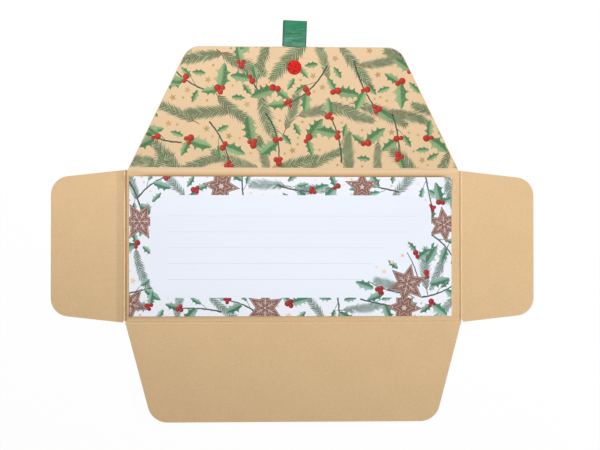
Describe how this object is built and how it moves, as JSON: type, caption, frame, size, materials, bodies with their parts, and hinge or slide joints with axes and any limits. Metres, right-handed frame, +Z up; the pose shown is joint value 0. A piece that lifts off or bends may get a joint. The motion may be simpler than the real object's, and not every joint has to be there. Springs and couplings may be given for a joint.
{
  "type": "gift envelope",
  "caption": "Creased kraft gift envelope, open, with a printed liner, a loose message card, a ribbon pull and a hook-and-loop closure.",
  "frame": {"origin": "centre of the back panel's underside, the face that lies on the table when the envelope is open", "axes": "+X towards the right flap, +Y towards the top flap, +Z up, out of the inside face"},
  "size_m": [0.315, 0.2615, 0.0032],
  "materials": {
    "kraft_board": "matt kraft board with a fine fibre grain",
    "kraft_crease": "matt kraft board, pressed into a bead or a soft fold",
    "printed_liner": "matt printed paper with holly, berries, fir sprigs and stars",
    "printed_card": "matt white card with a printed border",
    "ribbon": "green grosgrain ribbon with fine cross ribs",
    "hook_pad": "red hook tape",
    "loop_pad": "red loop tape",
    "adhesive": "clear acrylic adhesive film"
  },
  "bodies": {
    "panel": {"back_panel": "kraft_board", "left_crease": "kraft_crease", "right_crease": "kraft_crease", "bottom_crease": "kraft_crease", "top_fold": "kraft_crease"},
    "left_side": {"left_flap": "kraft_board"},
    "right_side": {"right_flap": "kraft_board"},
    "bottom_side": {"bottom_flap": "kraft_board", "loop_disc_adhesive": "adhesive", "loop_disc": "loop_pad"},
    "top_side": {"top_flap": "kraft_board", "flap_liner": "printed_liner", "ribbon_tails": "ribbon", "hook_disc_adhesive": "adhesive", "hook_disc": "hook_pad"},
    "pull": {"ribbon_loop": "ribbon"},
    "card": {"message_card": "printed_card"}
  },
  "joints": [
    {"name": "left_fold", "type": "hinge", "parent": "panel", "child": "left_side", "pos_m": [-0.1095, 0, 0.0015], "axis": [0, 1, 0], "range_deg": [0, 179.9]},
    {"name": "right_fold", "type": "hinge", "parent": "panel", "child": "right_side", "pos_m": [0.1095, 0, 0.0015], "axis": [0, -1, 0], "range_deg": [0, 179.9]},
    {"name": "bottom_fold", "type": "hinge", "parent": "panel", "child": "bottom_side", "pos_m": [0, -0.04885, 0.00185], "axis": [-1, 0, 0], "range_deg": [0, 177.54]},
    {"name": "closing_fold", "type": "hinge", "parent": "panel", "child": "top_side", "pos_m": [0, 0.04885, 0.00235], "axis": [1, 0, 0], "range_deg": [0, 178.3]},
    {"name": "card_lift", "type": "slide", "parent": "panel", "child": "card", "axis": [0, 0, -1], "range_m": [-0.06, 0]},
    {"name": "ribbon_bend", "type": "hinge", "parent": "top_side", "child": "pull", "pos_m": [0.0006, 0.13135, 0.00082], "axis": [-1, 0, 0], "range_deg": [-75, 75]}
  ]
}
